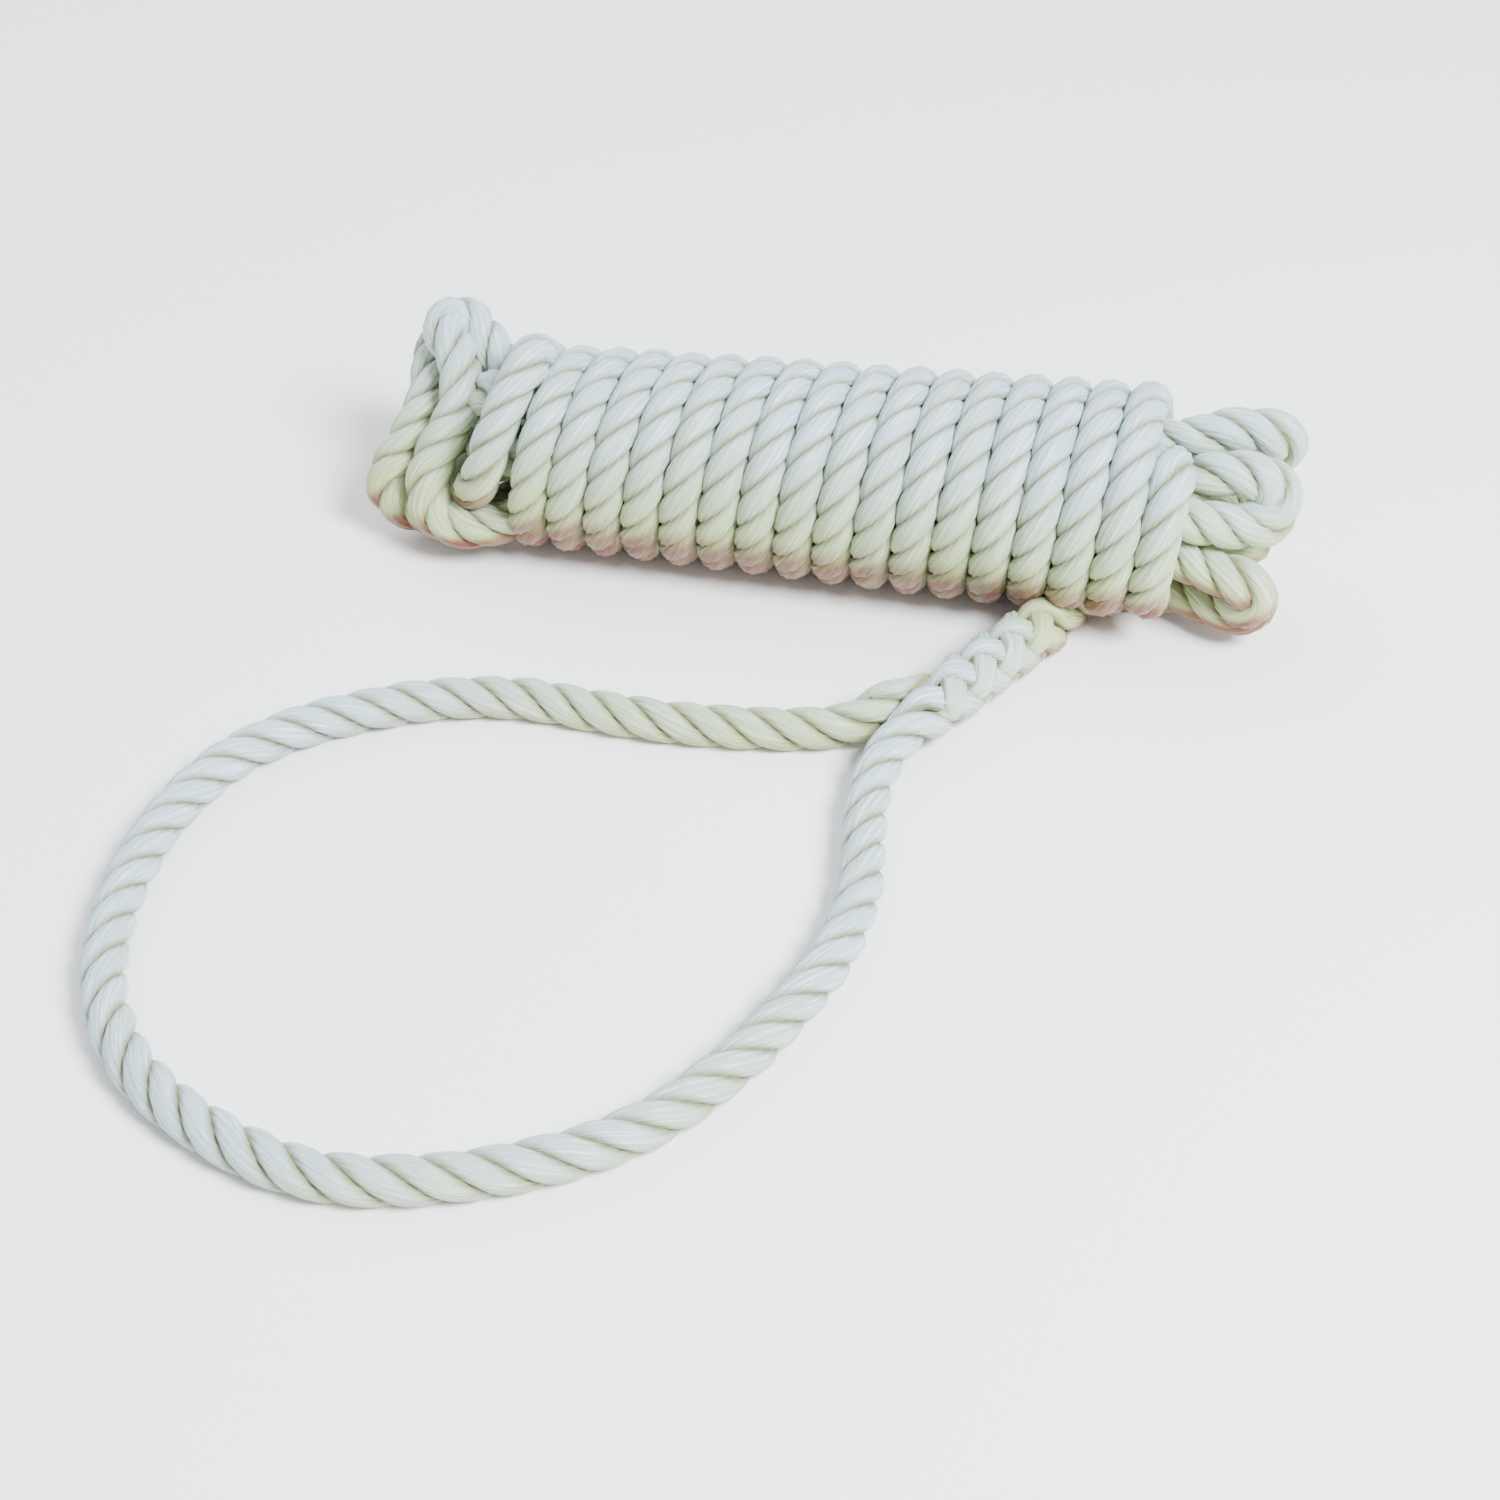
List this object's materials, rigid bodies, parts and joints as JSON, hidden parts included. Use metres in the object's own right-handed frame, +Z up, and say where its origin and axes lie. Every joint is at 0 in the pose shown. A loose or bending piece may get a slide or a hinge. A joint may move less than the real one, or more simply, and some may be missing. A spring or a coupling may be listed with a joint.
{
  "type": "spliced eye rope hank",
  "caption": "White three-strand rope stowed as a frapped hank, with a large eye loop spliced into its working end, lying ready for use",
  "frame": {"origin": "centre of the bounding box at the level of the surface that the rope lies on", "axes": "+X runs along the hank from its left bights to its right bights, +Y points from the eye towards the hank, +Z is up"},
  "size_m": [0.247, 0.2591, 0.0592],
  "materials": {
    "rope": "white three-strand nylon rope, slightly glossy filament yarns",
    "whipping_twine": "off-white waxed whipping twine",
    "melted_fibre": "rope fibre sealed by heat, hard and slightly yellow"
  },
  "bodies": {
    "root": {"eye_loop": "rope", "eye_splice": "rope", "standing_part": "rope", "frapping_turns": "rope", "folded_runs": "rope", "left_bight_inner": "rope", "left_bight_outer": "rope", "right_bight_top": "rope", "right_bight_middle": "rope", "right_bight_front": "rope", "right_bight_back": "rope", "last_turn": "rope", "bare_end": "rope", "end_whipping": "whipping_twine", "sealed_tip": "melted_fibre"}
  },
  "joints": []
}
